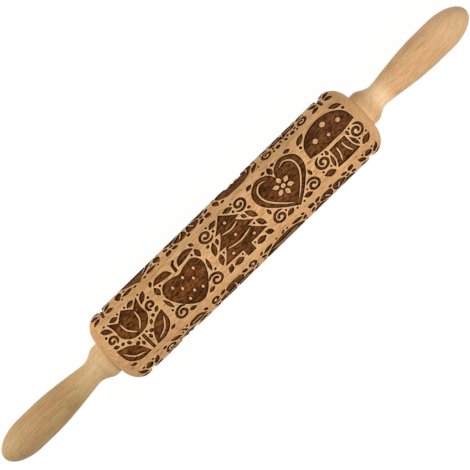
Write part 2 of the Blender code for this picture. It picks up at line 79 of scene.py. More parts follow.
# Barrel
BARREL_END_RADIUS = 11.5 * MM
SHOULDER_LENGTH = 12 * MM
BORE_RADIUS = 7 * MM
COUNTERBORE_RADIUS = 9.8 * MM
COUNTERBORE_DEPTH = 7.8 * MM
BARREL_SIDES = 128
BARREL_SHARP_ANGLE = math.radians(40)
SHOULDER_RINGS = 18
ROW_STEP_SHARE = 0.87

# Engraving
ENGRAVING_DEPTH = 1.0 * MM
WALL_LEAN = 0.25 * MM
LEAN_TRIES = 8
CRUSHED_SHARE = 0.15
CHAR_AND_SHADE_REACH = 0.9 * MM
PATTERN_MARGIN = 5.5 * MM
MOTIF_GAP_ALONG = 3.8 * MM
MOTIF_GAP_ROUND = 5 * MM
MOTIFS_IN_ROW = 5
MOTIF_ROWS = 4
LATTICE_CLEARANCE = 0.42 * MM
OUTLINE_MERGE = 0.01 * MM
WELD = 0.001 * MM
MOTIF_PITCH = (BARREL_LENGTH - 2 * PATTERN_MARGIN) / MOTIFS_IN_ROW
MOTIF_LENGTH = MOTIF_PITCH - MOTIF_GAP_ALONG
MOTIF_HEIGHT = math.tau * BARREL_RADIUS / MOTIF_ROWS - MOTIF_GAP_ROUND
SPRIG_LENGTH = MOTIF_PITCH / 2 - MOTIF_GAP_ALONG
SPRIG_PLACE = (MOTIFS_IN_ROW / 2 - 0.25) * MOTIF_PITCH

# Handles
JOINT_GAP = 0.06 * MM
HANDLE_PLACE = BARREL_LENGTH / 2 + JOINT_GAP
HANDLE_LENGTH = HANDLE_END - HANDLE_PLACE
COLLAR_RADIUS = 12.7 * MM
COLLAR_LENGTH = 3.5 * MM
COLLAR_EDGE = 0.1 * MM
NECK_RADIUS = 8.4 * MM
NECK_PLACE = 16.5 * MM
BELLY_RADIUS = 12.6 * MM
BELLY_PLACE = 62 * MM
NOSE_LENGTH = 24 * MM
COVE_POWER = 1.3
SWELL_POWER = 1.15
INSERT_HOLE_RADIUS = 5.5 * MM
INSERT_HOLE_DEPTH = 14 * MM
FLANGE_HOLE_RADIUS = 8.3 * MM
FLANGE_HOLE_DEPTH = 1.5 * MM
HANDLE_SIDES = 96
HANDLE_SHARP_ANGLE = math.radians(35)
EDGE_STEPS = 4
COVE_STEPS = 22
SWELL_STEPS = 36
NOSE_STEPS = 20

# Camera: the photograph looks straight down, with the pin across its diagonal
PIN_ANGLE = math.radians(44.2175)
FRAME_WIDTH = 317.8 * MM
AIM_RIGHT = -0.13 * MM
AIM_DOWN = 0.67 * MM
LENS = 200
SENSOR = 36
CLIP_SHARE = 10

# Light: what the tent gives, how the floor gives it back and is seen, and the lamps, each by its place to the
# right of the pin's middle and up from it, as the photograph lies, its height, its size and its power
TENT_LIGHT = 0.38
FLOOR_REACH = 6.0
FLOOR_CARD = 0.6
FLOOR_SHADOWED = 0.14
FLOOR_GLOW = 0.91
LAMPS = {
    "left_lamp": (-0.70, -0.11, 0.30, 0.3, 2.45),
    "right_lamp": (0.25, -0.12, 0.35, 0.2, 0.9),
    "top_lamp": (0.05, 0.31, 0.57, 0.3, 0.61),
}

# Grain of the finishes: steps of noise a metre, along the wood and across it
BEND_GRAIN = (14, 40, 40)
PATCH_GRAIN = (28, 110, 110)
FIBRE_GRAIN = (45, 620, 620)
FLECK_GRAIN = (240, 1300, 1300)
GATHERED_GRAIN = (50, 120, 120)
PORE_GRAIN = (120, 1000, 1000)
STREAK_GRAIN = (200, 900, 900)
SCORCH_GRAIN = (60, 140, 140)
DASH_GRAIN = (330, 1000, 1000)
TURNING_GRAIN = (9000, 120, 120)
METAL_PATCH_GRAIN = (300, 300, 300)
NYLON_GRAIN = (500, 500, 500)
RING_GRAIN = 105
RING_BEND = 10 * MM

# Tones: the burnt floors' at the left and right end of the barrel, painted lighter to the left and darker to
# the right as the lamps' light and shade, and where the bare wood is paler
PAINTED_LIGHT_FLOOR_TONES = {
    "Floor": (srgb(103, 53, 12), srgb(90, 48, 16)),
    "Light": (srgb(148, 88, 37), srgb(124, 78, 42)),
}
RIM_TONE = srgb(248, 200, 150)
# Painted light on the barrel's ends, lifting the shade of its sloping shoulders
PAINTED_END_LIGHT_TONE = srgb(252, 200, 142)
END_LIGHT_LENGTH = 8 * MM
# Painted light at each handle's joint, lifting the shade that the barrel's shoulder casts in the crease
PAINTED_JOINT_LIGHT_TONE = srgb(255, 220, 168)
JOINT_LIGHT_LENGTH = 8 * MM
WORN_OVERLAP = 7 * MM
# The left handle's tones are darker and the right handle's paler: partly the wood's own tone, partly painted
# shade on the left and painted light on the right
HANDLES = {
    "left_handle": {
        "tones": {
            "Pale": srgb(197, 165, 109), "Warm": srgb(193, 150, 101),
            "Ring": srgb(158, 121, 72), "Fleck": srgb(126, 88, 48),
        },
        "cut": srgb(236, 202, 150), "cove": (0.8, 0.25, 1.45, 0.55), "painted_joint_light": 0.75, "worn": 0.2,
        "cut_from": (0.02, -0.041, 0.022), "turn": (0, 0, 0.02),
    },
    "right_handle": {
        "tones": {
            "Pale": srgb(224, 186, 131), "Warm": srgb(222, 169, 122),
            "Ring": srgb(196, 149, 96), "Fleck": srgb(154, 98, 56),
        },
        "cut": srgb(253, 215, 166), "cove": (0.9, 0.15, 0.62, 0.95), "painted_joint_light": 0.35, "worn": 0.5,
        "cut_from": (0.07, 0.038, 0.03), "turn": (0, 0.015, -0.015),
    },
}
# Each metal's shaded and bright tone, and its least and most roughness
METALS = {
    "axle_steel": (srgb(150, 152, 155), srgb(190, 192, 196), 0.25, 0.4),
    "bearing_steel": (srgb(188, 190, 194), srgb(222, 224, 228), 0.08, 0.2),
    "shield_steel": (srgb(168, 170, 172), srgb(200, 202, 204), 0.3, 0.45),
    "spring_steel": (srgb(62, 62, 66), srgb(96, 96, 100), 0.3, 0.5),
    "brass": (srgb(186, 144, 72), srgb(224, 186, 108), 0.2, 0.35),
}

# Filling: leaves, each size by its length and width, and round pockets in the room that a motif leaves
FILL_GAP = 0.8 * MM
FILL_GRID = 0.3 * MM
FILL_REACH = 4 * MM
FILL_LEAST_ROOM = 0.6 * MM
FILL_SLIM_SHARE = 0.8
FILL_LEAF_SIZES = (
    (10.4 * MM, 4.5 * MM), (8.7 * MM, 4.5 * MM), (7.5 * MM, 4.5 * MM),
    (10.4 * MM, 3 * MM), (6.2 * MM, 3.7 * MM), (7.5 * MM, 3 * MM),
    (5.2 * MM, 3 * MM), (4.2 * MM, 2.8 * MM), (3.4 * MM, 2.5 * MM),
)
FILL_TURNS = 24
FILL_LEAVES = 9
FILL_LEAF_STEPS = 3
FILL_DOTS = 5
FILL_DOT_SIDES = 12
FILL_DOT_RADIUS = 1.3 * MM
FILL_LEAST_DOT_RADIUS = 0.83 * MM

# Motif outlines, as shares of a motif's half length and half height. A point listed twice is a corner.
TULIP_CUP_SHARES = (
    (0, -0.2), (0.34, -0.12), (0.58, 0.16), (0.58, 0.52), (0.66, 0.95), (0.66, 0.95),
    (0.33, 0.64), (0.33, 0.64), (0, 0.98), (0, 0.98),
)
TULIP_LEAF_SHARES = (
    (0.13, -0.96), (0.13, -0.96), (0.56, -0.94), (0.93, -0.62), (1.0, -0.06), (1.0, -0.06),
    (0.6, -0.2), (0.3, -0.5),
)
TULIP_STEM_SHARES = ((-0.06, -0.97), (0.06, -0.97), (0.06, -0.26), (-0.06, -0.26))
MUSHROOM_CAP_SHARES = (
    (0, -0.06), (0.5, -0.05), (0.97, 0.04), (0.97, 0.04), (0.88, 0.5), (0.5, 0.86), (0, 0.98),
)
MUSHROOM_STEM_SHARES = (
    (0, -0.97), (0.5, -0.94), (0.5, -0.94), (0.36, -0.62), (0.34, -0.19), (0.34, -0.19), (0, -0.18),
)
OAK_LEAF_SHARES = (
    (0, -0.76), (0, -0.76), (0.22, -0.64), (0.48, -0.66), (0.58, -0.48), (0.38, -0.31), (0.34, -0.22),
    (0.66, -0.21), (0.84, -0.03), (0.70, 0.13), (0.42, 0.18), (0.40, 0.26), (0.66, 0.31), (0.76, 0.48),
    (0.58, 0.63), (0.35, 0.6), (0.40, 0.79), (0.24, 0.95), (0, 0.98),
)
OAK_STALK_SHARES = ((-0.05, -0.82), (0.0, -0.99), (0.11, -0.99), (0.06, -0.82))
BERRY_SHARES = ((0, -0.97), (0.34, -0.78), (0.70, -0.3), (0.84, 0.14), (0.66, 0.48), (0.28, 0.47), (0, 0.38))
BERRY_LEAF_SHARES = (
    (0.13, 0.58), (0.13, 0.58), (0.44, 0.60), (0.90, 0.72), (0.90, 0.72), (0.66, 0.92), (0.28, 0.86),
)
BERRY_STALK_SHARES = ((-0.06, 0.5), (0.06, 0.5), (0.08, 0.78), (0.2, 0.93), (0.12, 0.99), (-0.03, 0.84))
FIR_TREE_SHARES = (
    (0, -0.97), (0.18, -0.97), (0.18, -0.97), (0.18, -0.64), (0.18, -0.64), (0.95, -0.62), (0.95, -0.62),
    (0.70, -0.36), (0.50, -0.1), (0.50, -0.1), (0.78, -0.08), (0.78, -0.08), (0.50, 0.18), (0.33, 0.4),
    (0.33, 0.4), (0.54, 0.42), (0.54, 0.42), (0.24, 0.7), (0, 0.99), (0, 0.99),
)
PETAL_SHARES = ((0.27, 0), (0.27, 0), (0.55, -0.2), (0.82, -0.28), (0.97, 0), (0.82, 0.28), (0.55, 0.2))
ROSETTE_EYE_SHARE = 0.2
ROSETTE_PETALS = 8
HEART_SHARES = (
    (0, -0.96), (0, -0.96), (0.54, -0.48), (0.97, 0.04), (0.98, 0.57), (0.56, 0.9), (0.15, 0.74),
    (0, 0.44), (0, 0.44),
)
ACORN_CAP_SHARES = (
    (0, 0.16), (0.46, 0.13), (0.84, 0.22), (0.84, 0.22), (0.78, 0.52), (0.44, 0.79), (0, 0.87),
)
ACORN_NUT_SHARES = (
    (0, -0.97), (0, -0.97), (0.16, -0.82), (0.52, -0.56), (0.70, -0.2), (0.68, 0.05), (0.68, 0.05), (0, 0.04),
)
ACORN_SCALE_SHARES = ((0.66, 0.37, 0.29), (0.56, 0.57, 0.48))
PEAR_SHARES = (
    (0, -0.97), (0.48, -0.9), (0.80, -0.52), (0.68, -0.1), (0.41, 0.2), (0.31, 0.5), (0.02, 0.65),
    (-0.26, 0.48), (-0.38, 0.18), (-0.68, -0.12), (-0.80, -0.52), (-0.48, -0.9),
)
PEAR_LEAF_SHARES = (
    (0.13, 0.77), (0.13, 0.77), (0.44, 0.60), (0.92, 0.66), (0.92, 0.66), (0.66, 0.97), (0.30, 0.97),
)
PEAR_STALK_SHARES = ((-0.04, 0.72), (0.08, 0.72), (0.03, 0.86), (-0.06, 0.99), (-0.16, 0.96), (-0.06, 0.86))
SPRIG_STEM_SHARES = ((-0.12, -0.97), (0.12, -0.97), (0.12, 0.52), (-0.12, 0.52))
SPRIG_LEAF_SHARES = ((0.22, 0), (0.22, 0), (0.64, 0.01), (0.98, 0.28), (0.56, 0.29))
SPRIG_TIP_SHARES = ((0, 0.6), (0.36, 0.78), (0, 0.99), (-0.36, 0.78))
SPRIG_LEAF_PLACE_SHARES = (-0.72, -0.3, 0.12)
BERRY_SEED_SHARES = ((0, 0.26), (0, -0.36))
BERRY_SEED_PAIR_SHARES = ((0.46, 0.24), (0.24, -0.02), (0.28, -0.48))
HEART_LINE_SHARES = ((0.1, -0.7), (0.42, -0.38), (0.74, 0.06), (0.77, 0.46), (0.55, 0.69), (0.3, 0.62))
LEAF_HALF_SHARES = ((0, 0), (0, 0), (0.28, -0.4), (0.62, -0.44), (1, 0), (1, 0))
CURVE_STEPS = 6
VEIN_SHARE = 0.05
CURL_SHARE = 0.11
CURL_CLOSING_SHARE = 0.84
CURL_STEPS = 9
FINE_END_SHARE = 0.14


def smooth_between(before, start, end, after, t):
    """A point on the smooth curve from start to end."""
    return tuple(
        0.5 * (2 * b + (c - a) * t + (2 * a - 5 * b + 4 * c - d) * t**2 + (3 * b - a - 3 * c + d) * t**3)
        for a, b, c, d in zip(before, start, end, after)
    )


def smooth_closed(points, steps=CURVE_STEPS):
    """A smooth closed curve through the points, with a corner at each one that is listed twice."""
    count = len(points)
    loop = []
    for i, start in enumerate(points):
        before, end, after = points[i - 1], points[(i + 1) % count], points[(i + 2) % count]
        if start != end:
            loop += [smooth_between(before, start, end, after, step / steps) for step in range(steps)]
    return loop


def smooth_open(points, steps):
    """A smooth path through the points."""
    ends = [points[0], *points, points[-1]]
    path = []
    for before, start, end, after in zip(ends, ends[1:], ends[2:], ends[3:]):
        path += [smooth_between(before, start, end, after, step / steps) for step in range(steps)]
    return path + [tuple(points[-1])]


def flipped(points):
    """The same outline on the other side of the motif's middle line."""
    return [(-u, v) for u, v in reversed(points)]


def pair(outline):
    return [outline, flipped(outline)]


def both_sides(half):
    """A closed outline from its right half, which runs bottom to top and ends on the middle line."""
    return list(half) + [(u, v) for u, v in flipped(half) if u]


def turned_about_middle(points, angle):
    cosine, sine = math.cos(angle), math.sin(angle)
    return [(u * cosine - v * sine, u * sine + v * cosine) for u, v in points]


def dot(u, v, radius, sides=14):
    angles = [math.tau * i / sides for i in range(sides)]
    return [(u + radius * math.cos(angle), v + radius * math.sin(angle)) for angle in angles]


def beads(*spots):
    """Round pockets on both sides of the middle line, each given by its place and radius."""
    return [dot(side * u, v, radius) for u, v, radius in spots for side in (-1, 1)]


def stroke(points, width=VEIN_SHARE, steps=CURVE_STEPS, taper=0.25):
    """A cut along a path, full in its middle and drawn out to a fine end over the taper share."""
    path = smooth_open(points, steps)
    last = len(path) - 1
    left, right = [], []
    for i, (u, v) in enumerate(path):
        (from_u, from_v), (to_u, to_v) = path[max(i - 1, 0)], path[min(i + 1, last)]
        run = math.hypot(to_u - from_u, to_v - from_v)
        half = width / 2 * max(min(1, math.sqrt(min(i, last - i) / last / taper)), FINE_END_SHARE)
        across = ((to_v - from_v) / run * half, (from_u - to_u) / run * half)
        right.append((u + across[0], v + across[1]))
        left.append((u - across[0], v - across[1]))
    return right + left[::-1]


def curl(u, v, radius, turns, start, hand, width=CURL_SHARE):
    """A spiral cut that winds in from its start angle."""
    count = round(turns * CURL_STEPS)
    path = []
    for i in range(count + 1):
        reach = radius * (1 - CURL_CLOSING_SHARE * i / count)
        angle = math.radians(start) + hand * math.tau * turns * i / count
        path.append((u + reach * math.cos(angle), v + reach * math.sin(angle)))
    return stroke(path, width, 3, 0.1)


def leaf(u, v, angle, length, width, steps=4):
    """A leaf that points away from its foot."""
    outline = [*LEAF_HALF_SHARES, *((x, -y) for x, y in LEAF_HALF_SHARES[3:1:-1])]
    shape = turned_about_middle([(length * x, width * y) for x, y in outline], math.radians(angle))
    return smooth_closed([(u + x, v + y) for x, y in shape], steps)


def tulip():
    cup = smooth_closed(both_sides(TULIP_CUP_SHARES))
    cuts = [cup, *pair(smooth_closed(TULIP_LEAF_SHARES)), TULIP_STEM_SHARES]
    cuts += pair(curl(0.84, 0.30, 0.19, 1.2, 250, -1))
    cuts += beads((0.30, -0.38, 0.08), (0.67, -0.03, 0.07))
    veins = pair(stroke([(0.31, 0.56), (0.27, 0.22), (0.05, -0.07)]))
    veins += pair(stroke([(0.32, -0.83), (0.66, -0.66), (0.90, -0.3)]))
    return cuts, veins


def mushroom():
    cuts = [smooth_closed(both_sides(half)) for half in (MUSHROOM_CAP_SHARES, MUSHROOM_STEM_SHARES)]
    cuts += pair(leaf(0.58, -0.96, 24, 0.48, 0.3)) + pair(curl(0.74, -0.36, 0.27, 1.5, 90, -1))
    spots = [(-0.46, 0.38, 0.09), (0.08, 0.66, 0.1), (0.54, 0.38, 0.08), (0.0, 0.22, 0.06)]
    return cuts, [dot(*spot) for spot in spots] + pair(stroke([(0.12, -0.3), (0.14, -0.55), (0.24, -0.82)]))


def oak_leaf():
    cuts = [smooth_closed(both_sides(OAK_LEAF_SHARES), 4), OAK_STALK_SHARES]
    cuts += pair(curl(0.80, 0.84, 0.2, 1.2, 230, 1)) + pair(curl(0.76, -0.78, 0.24, 1.4, 120, -1))
    cuts += beads((0.32, -0.90, 0.1))
    veins = [stroke([(0, -0.62), (0, 0), (0, 0.82)], VEIN_SHARE, 8)]
    for outer in (((0.24, -0.44), (0.42, -0.52)), ((0.32, 0), (0.62, -0.02)), ((0.28, 0.42), (0.54, 0.47))):
        veins += pair(stroke([(0.06, outer[0][1]), *outer]))
    return cuts, veins


def strawberry():
    cuts = [smooth_closed(both_sides(BERRY_SHARES)), *pair(smooth_closed(BERRY_LEAF_SHARES))]
    cuts += [BERRY_STALK_SHARES, *pair(curl(0.76, -0.73, 0.27, 1.5, 150, -1))]
    seeds = [leaf(u, v, -90, 0.14, 0.09, 3) for u, v in BERRY_SEED_SHARES]
    for u, v in BERRY_SEED_PAIR_SHARES:
        seeds += pair(leaf(u, v, -90, 0.14, 0.09, 3))
    return cuts, seeds


def fir_tree():
    cuts = [smooth_closed(both_sides(FIR_TREE_SHARES), 4)]
    cuts += pair(curl(0.75, 0.71, 0.27, 1.5, 210, 1)) + pair(leaf(0.28, -0.86, 2, 0.44, 0.28))
    kept = [stroke([(-0.34, 0.3), (0, 0.22), (0.34, 0.3)]), stroke([(-0.5, -0.2), (0, -0.3), (0.5, -0.2)])]
    kept += [dot(0, 0.56, 0.05), dot(0, -0.02, 0.05), *pair(dot(0.46, -0.46, 0.05))]
    return cuts, kept


def rosette():
    cuts, kept = [dot(0, 0, ROSETTE_EYE_SHARE, 18)], [dot(0, 0, 0.085, 12)]
    for i in range(ROSETTE_PETALS):
        middle, between = (math.tau * (i + share) / ROSETTE_PETALS for share in (0.5, 0))
        cuts.append(turned_about_middle(smooth_closed(PETAL_SHARES, 4), middle))
        cuts.append(turned_about_middle(dot(0.95, 0, 0.08), between))
        kept.append(turned_about_middle(stroke([(0.46, 0), (0.82, 0)]), middle))
    for rise, turn in ((-0.79, -45), (0.79, 45)):
        cuts += pair(leaf(0.77, rise, turn, 0.32, 0.26))
    return cuts, kept


def heart():
    cuts = [smooth_closed(both_sides(HEART_SHARES)), leaf(0, 0.60, 90, 0.38, 0.22)]
    cuts += pair(curl(0.74, -0.72, 0.27, 1.5, 140, -1))
    kept = [dot(0, 0.04, 0.08), *pair(stroke(HEART_LINE_SHARES))]
    for i in range(6):
        flower = turned_about_middle(leaf(0.13, 0, 0, 0.24, 0.16), math.radians(60 * i + 90))
        kept.append([(u, v + 0.04) for u, v in flower])
    return cuts, kept


def acorn():
    cuts = [smooth_closed(both_sides(half)) for half in (ACORN_CAP_SHARES, ACORN_NUT_SHARES)]
    cuts.append(stroke([(0, 0.90), (0.05, 0.95), (0.14, 1.0)], 0.1, 5, 0.05))
    cuts += pair(leaf(0.82, -0.32, -82, 0.6, 0.3))
    kept = [stroke([(-half, side), (0, middle), (half, side)]) for half, side, middle in ACORN_SCALE_SHARES]
    return cuts, kept + [stroke([(0.42, -0.08), (0.42, -0.32), (0.22, -0.64)])]


def pear():
    cuts = [smooth_closed(PEAR_SHARES), smooth_closed(PEAR_LEAF_SHARES), PEAR_STALK_SHARES]
    cuts += [curl(-0.70, 0.62, 0.28, 1.5, -20, -1), curl(0.82, 0.12, 0.19, 1.2, 160, 1)]
    kept = [stroke([(0.54, -0.66), (0.58, -0.36), (0.38, -0.04)])]
    kept.append(stroke([(0.26, 0.78), (0.5, 0.78), (0.72, 0.75)]))
    kept += [leaf(-0.08, -0.24, -110, 0.26, 0.15), leaf(0.08, -0.24, -70, 0.26, 0.15)]
    return cuts, kept


def sprig():
    cuts = [SPRIG_STEM_SHARES, smooth_closed(SPRIG_TIP_SHARES, 3)]
    for place in SPRIG_LEAF_PLACE_SHARES:
        cuts += pair(smooth_closed([(u, v + place) for u, v in SPRIG_LEAF_SHARES], 4))
    return cuts, []


def distance_to_outlines(points, outlines, reach):
    """Each point's distance to the nearest outline, or the reach where none is nearer."""
    nearest = np.full(len(points), reach)
    for outline in outlines:
        starts = np.array(outline)
        runs = np.roll(starts, -1, 0) - starts
        about = (points > starts.min(0) - reach) & (points < starts.max(0) + reach)
        near = np.flatnonzero(about.all(1))
        offsets = points[near, None] - starts[None]
        shares = np.clip((offsets * runs).sum(-1) / np.maximum((runs**2).sum(-1), WELD**2), 0, 1)
        gaps = np.linalg.norm(offsets - shares[..., None] * runs, axis=-1)
        nearest[near] = np.minimum(nearest[near], gaps.min(1, initial=reach))
    return nearest


def lies_inside(points, outline):
    """Whether each point lies inside the outline, by how many of its sides are to the point's right."""
    inside = np.zeros(len(points), bool)
    across, up = points.T
    for start, end in zip(outline, outline[1:] + outline[:1]):
        if start[1] != end[1]:
            meets = start[0] + (end[0] - start[0]) * (up - start[1]) / (end[1] - start[1])
            inside ^= ((start[1] > up) != (end[1] > up)) & (across < meets)
    return inside


def cut_off(room, spots, cuts):
    """Lowers each spot's room to its distance from the cuts, where there was still enough to use."""
    still = room > FILL_GAP
    left = distance_to_outlines(spots[still], cuts, FILL_REACH)
    for cut in cuts:
        left[lies_inside(spots[still], cut)] = 0
    room[still] = np.minimum(room[still], left)


def snuggest_leaf(spots, room, last, size):
    """The outline of a leaf of this size where it fits most closely, or nothing where it finds no room."""
    best, tightest = None, FILL_REACH
    for turn in range(FILL_TURNS):
        outline = np.array(leaf(0, 0, 360 / FILL_TURNS * turn, *size, FILL_LEAF_STEPS))
        outline -= outline.mean(0)
        slim = np.linalg.norm(outline, axis=1).min()
        middles = spots[room > FILL_GAP + max(FILL_SLIM_SHARE * slim, FILL_LEAST_ROOM)]
        tried = middles[:, None] + outline
        cells = np.clip(np.rint(tried / FILL_GRID).astype(int) + last, 0, 2 * last)
        least = room[cells[..., 0] * (2 * last[1] + 1) + cells[..., 1]].min(1, initial=FILL_REACH)
        least[least <= FILL_GAP] = FILL_REACH
        if len(least) and least.min() < tightest:
            tightest = least.min()
            best = [tuple(point) for point in tried[least.argmin()]]
    return best


def filling(cuts, length, mirrored):
    """Leaves, the largest that fit, and round pockets in the room between a motif's cuts and its borders.

    A mirrored motif has its right half filled, and the left half gets the same.
    """
    half = np.array((length, MOTIF_HEIGHT)) / 2
    last = np.ceil(half / FILL_GRID).astype(int)
    spots = np.stack(np.mgrid[-last[0]:last[0] + 1, -last[1]:last[1] + 1], -1).reshape(-1, 2) * FILL_GRID
    room = (half - abs(spots)).min(1) + FILL_GAP
    if mirrored:
        room = np.minimum(room, spots[:, 0] + FILL_GAP / 2)
    cut_off(room, spots, [[(u * half[0], v * half[1]) for u, v in cut] for cut in cuts])
    found = []
    most = FILL_LEAVES if mirrored else 2 * FILL_LEAVES
    for size in FILL_LEAF_SIZES:
        outline = snuggest_leaf(spots, room, last, size)
        while outline and len(found) < most:
            found.append(outline)
            cut_off(room, spots, [outline])
            outline = snuggest_leaf(spots, room, last, size)
    for _ in range(FILL_DOTS):
        middle, radius = spots[room.argmax()], min(room.max() - FILL_GAP, FILL_DOT_RADIUS)
        if radius < FILL_LEAST_DOT_RADIUS:
            break
        found.append(dot(*middle, radius, FILL_DOT_SIDES))
        room = np.minimum(room, np.linalg.norm(spots - middle, axis=1) - radius)
    outlines = [[(x / half[0], y / half[1]) for x, y in outline] for outline in found]
    return outlines + [flipped(outline) for outline in outlines if mirrored]


@cache
def drawn(motif, length):
    """A motif's pockets, with the filling about them, and its islands."""
    pockets, islands = motif()
    return pockets + filling(pockets, length, motif is not pear), islands


# Every other row is set half a motif along, with a sprig in the half place left at each of its ends.
PATTERN = (
    (tulip, strawberry, fir_tree, heart, mushroom),
    (acorn, rosette, pear, oak_leaf),
    (heart, mushroom, tulip, strawberry, fir_tree),
    (pear, oak_leaf, acorn, rosette),
)


def places_in_row(row, motifs):
    """Each motif of a row with its place along X and its length."""
    middle = (len(motifs) - 1) / 2
    places = [(motif, (i - middle) * MOTIF_PITCH, MOTIF_LENGTH) for i, motif in enumerate(motifs)]
    if row % 2:
        places += [(sprig, side * SPRIG_PLACE, SPRIG_LENGTH) for side in (-1, 1)]
    return places


def anticlockwise(outline):
    area = sum(a[0] * b[1] - b[0] * a[1] for a, b in zip(outline, outline[1:] + outline[:1]))
    return outline if area > 0 else outline[::-1]


def pattern_outlines(seam):
    """The pockets' and the islands' outlines on the unrolled skin, by place along X and by arc."""
    pockets, islands = [], []
    for row, motifs in enumerate(PATTERN):
        angle = math.tau * row / MOTIF_ROWS
        if angle < seam:
            angle += math.tau
        middle = angle * BARREL_RADIUS
        for motif, place, length in places_in_row(row, motifs):
            for outlines, found in zip(drawn(motif, length), (pockets, islands)):
                for outline in outlines:
                    laid = [(place + u * length / 2, middle + v * MOTIF_HEIGHT / 2) for u, v in outline]
                    found.append(anticlockwise(laid))
    return pockets, islands


def ring_places():
    """Places along X of the lattice's rings: even along the middle and closer over the shoulders."""
    straight = BARREL_LENGTH / 2 - SHOULDER_LENGTH
    row_step = ROW_STEP_SHARE * math.tau * BARREL_RADIUS / BARREL_SIDES
    rows = 2 * round(straight / row_step)
    middle = [straight * (2 * i / rows - 1) for i in range(1, rows)]
    angles = [QUARTER_TURN * i / SHOULDER_RINGS for i in range(SHOULDER_RINGS + 1)]
    shoulder = [straight + SHOULDER_LENGTH * math.sin(angle) for angle in angles]
    return [-place for place in reversed(shoulder)] + middle + shoulder


def skin_radius(place):
    past = max(abs(place) - (BARREL_LENGTH / 2 - SHOULDER_LENGTH), 0) / SHOULDER_LENGTH
    return BARREL_END_RADIUS + (BARREL_RADIUS - BARREL_END_RADIUS) * math.sqrt(max(1 - past**2, 0))


def imprinted_sheet(seam, pockets, islands):
    """The unrolled skin as triangles between lattice and outlines, each with whether it lies in a pocket."""
    step = math.tau * BARREL_RADIUS / BARREL_SIDES
    start = seam * BARREL_RADIUS
    points, edges, inner = [], [], []
    seams, last = ([], []), None
    places = ring_places()
    for row, place in enumerate(places):
        if row % 2:
            inner += [(place, start + (i + 0.5) * step) for i in range(BARREL_SIDES)]
            continue
        for side in (0, 1):
            seams[side].append(len(points) + side)
        points += [(place, start), (place, start + BARREL_SIDES * step)]
        between = [(place, start + i * step) for i in range(1, BARREL_SIDES)]
        if row in (0, len(places) - 1):
            ring = [len(points) - 2, *range(len(points), len(points) + len(between)), len(points) - 1]
            edges += zip(ring, ring[1:])
            points += between
        else:
            inner += between
    for line in seams:
        edges += zip(line, line[1:])

    inner = np.array(inner)
    clear = distance_to_outlines(inner, pockets + islands, 2 * LATTICE_CLEARANCE) > LATTICE_CLEARANCE
    points += [tuple(point) for point in inner[clear]]
    faces = []
    for outline in pockets + islands:
        faces.append(list(range(len(points), len(points) + len(outline))))
        points += outline
    flat = [Vector(point) for point in points]
    verts, _, triangles, _, _, sources = delaunay_2d_cdt(flat, list(edges), faces, 0, OUTLINE_MERGE)
    in_pocket = [bool(source) and max(source) < len(pockets) for source in sources]
    return np.array(verts), triangles, in_pocket


def lean_inwards(shape, floor):
    """Moves the foot of each wall into its pocket, less where that would crush a narrow stroke's floor."""
    shape.verts.index_update()
    floor_faces = set(floor)
    flat = np.array([vert.co[:2] for vert in shape.verts])
    lean = np.zeros_like(flat)
    for face in floor:
        for edge in face.edges:
            if all(other in floor_faces for other in edge.link_faces):
                continue
            a, b = edge.verts
            third = next(vert for vert in face.verts if vert not in (a, b))
            run = flat[b.index] - flat[a.index]
            across = np.array((-run[1], run[0])) / max(np.linalg.norm(run), WELD)
            if across @ (flat[third.index] - flat[a.index]) < 0:
                across = -across
            lean[a.index] += across
            lean[b.index] += across
    length = np.linalg.norm(lean, axis=1)
    lean[length > 0] *= WALL_LEAN / length[length > 0, None]
    corners = np.array([[vert.index for vert in face.verts] for face in floor])

    def areas(places):
        a, b, c = (places[corners[:, i]] for i in range(3))
        return (b[:, 0] - a[:, 0]) * (c[:, 1] - a[:, 1]) - (b[:, 1] - a[:, 1]) * (c[:, 0] - a[:, 0])

    before = areas(flat)
    for _ in range(LEAN_TRIES):
        crushed = areas(flat + lean) / before < CRUSHED_SHARE
        if not crushed.any():
            break
        lean[np.unique(corners[crushed])] *= 0.5
    else:
        lean[np.unique(corners[areas(flat + lean) / before < CRUSHED_SHARE])] = 0
    for vert in {vert for face in floor for vert in face.verts}:
        vert.co.x += lean[vert.index, 0]
        vert.co.y += lean[vert.index, 1]


